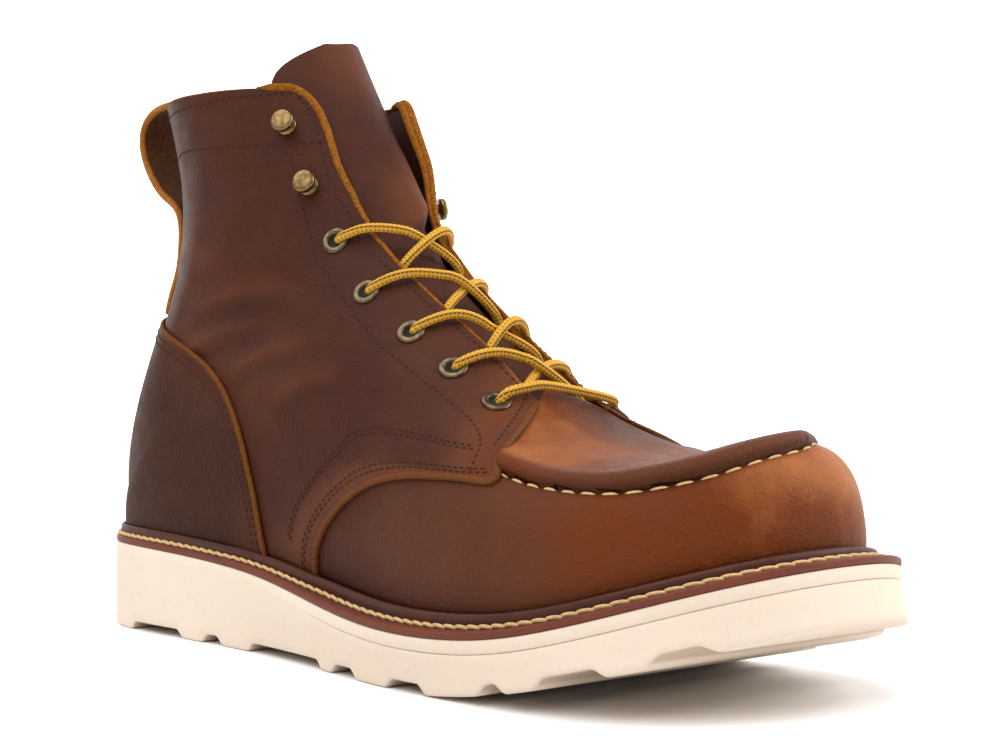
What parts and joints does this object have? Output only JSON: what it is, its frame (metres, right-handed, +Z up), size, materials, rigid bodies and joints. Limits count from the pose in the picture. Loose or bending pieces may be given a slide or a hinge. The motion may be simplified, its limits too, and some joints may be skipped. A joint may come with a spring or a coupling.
{
  "type": "moc toe work boot",
  "caption": "Ankle-high lace-up work boot with a raised moc toe seam, heel counter, pull loop, stitched welt and a flat wedge sole; the right boot of a pair.",
  "frame": {"origin": "middle of the whole boot's bounding box, on the floor under the sole", "axes": "+X from the heel to the toe, +Y to the medial side, +Z up"},
  "size_m": [0.3144, 0.1122, 0.1929],
  "materials": {
    "sole": "matt cream crepe with a fine grain",
    "midsole": "matt cream crepe with a fine grain",
    "welt": "red-brown edge-dyed leather, stitched in cream thread",
    "insole": "smooth natural leather footbed",
    "upper": "oiled full-grain leather, semi-matt, tan where it is pulled",
    "counter": "oiled full-grain leather, a little greyer",
    "tongue": "soft oiled leather",
    "pull_loop": "oiled leather strap with an orange suede back",
    "brass": "antique brass, softly polished",
    "lace": "round braid, golden yellow with brown flecks"
  },
  "bodies": {
    "root": {"outsole": "sole", "midsole": "midsole", "welt": "welt", "insole": "insole", "upper": "upper", "tongue": "tongue", "counter": "counter", "pull_loop": "pull_loop", "eyelet_lateral_1": "brass", "eyelet_lateral_2": "brass", "eyelet_lateral_3": "brass", "eyelet_lateral_4": "brass", "eyelet_lateral_5": "brass", "eyelet_medial_1": "brass", "eyelet_medial_2": "brass", "eyelet_medial_3": "brass", "eyelet_medial_4": "brass", "eyelet_medial_5": "brass", "hook_lateral_1": "brass", "hook_lateral_2": "brass", "hook_medial_1": "brass", "hook_medial_2": "brass", "lace_crossing_1": "lace", "lace_crossing_2": "lace", "lace_crossing_3": "lace", "lace_crossing_4": "lace", "lace_bar": "lace"}
  },
  "joints": []
}
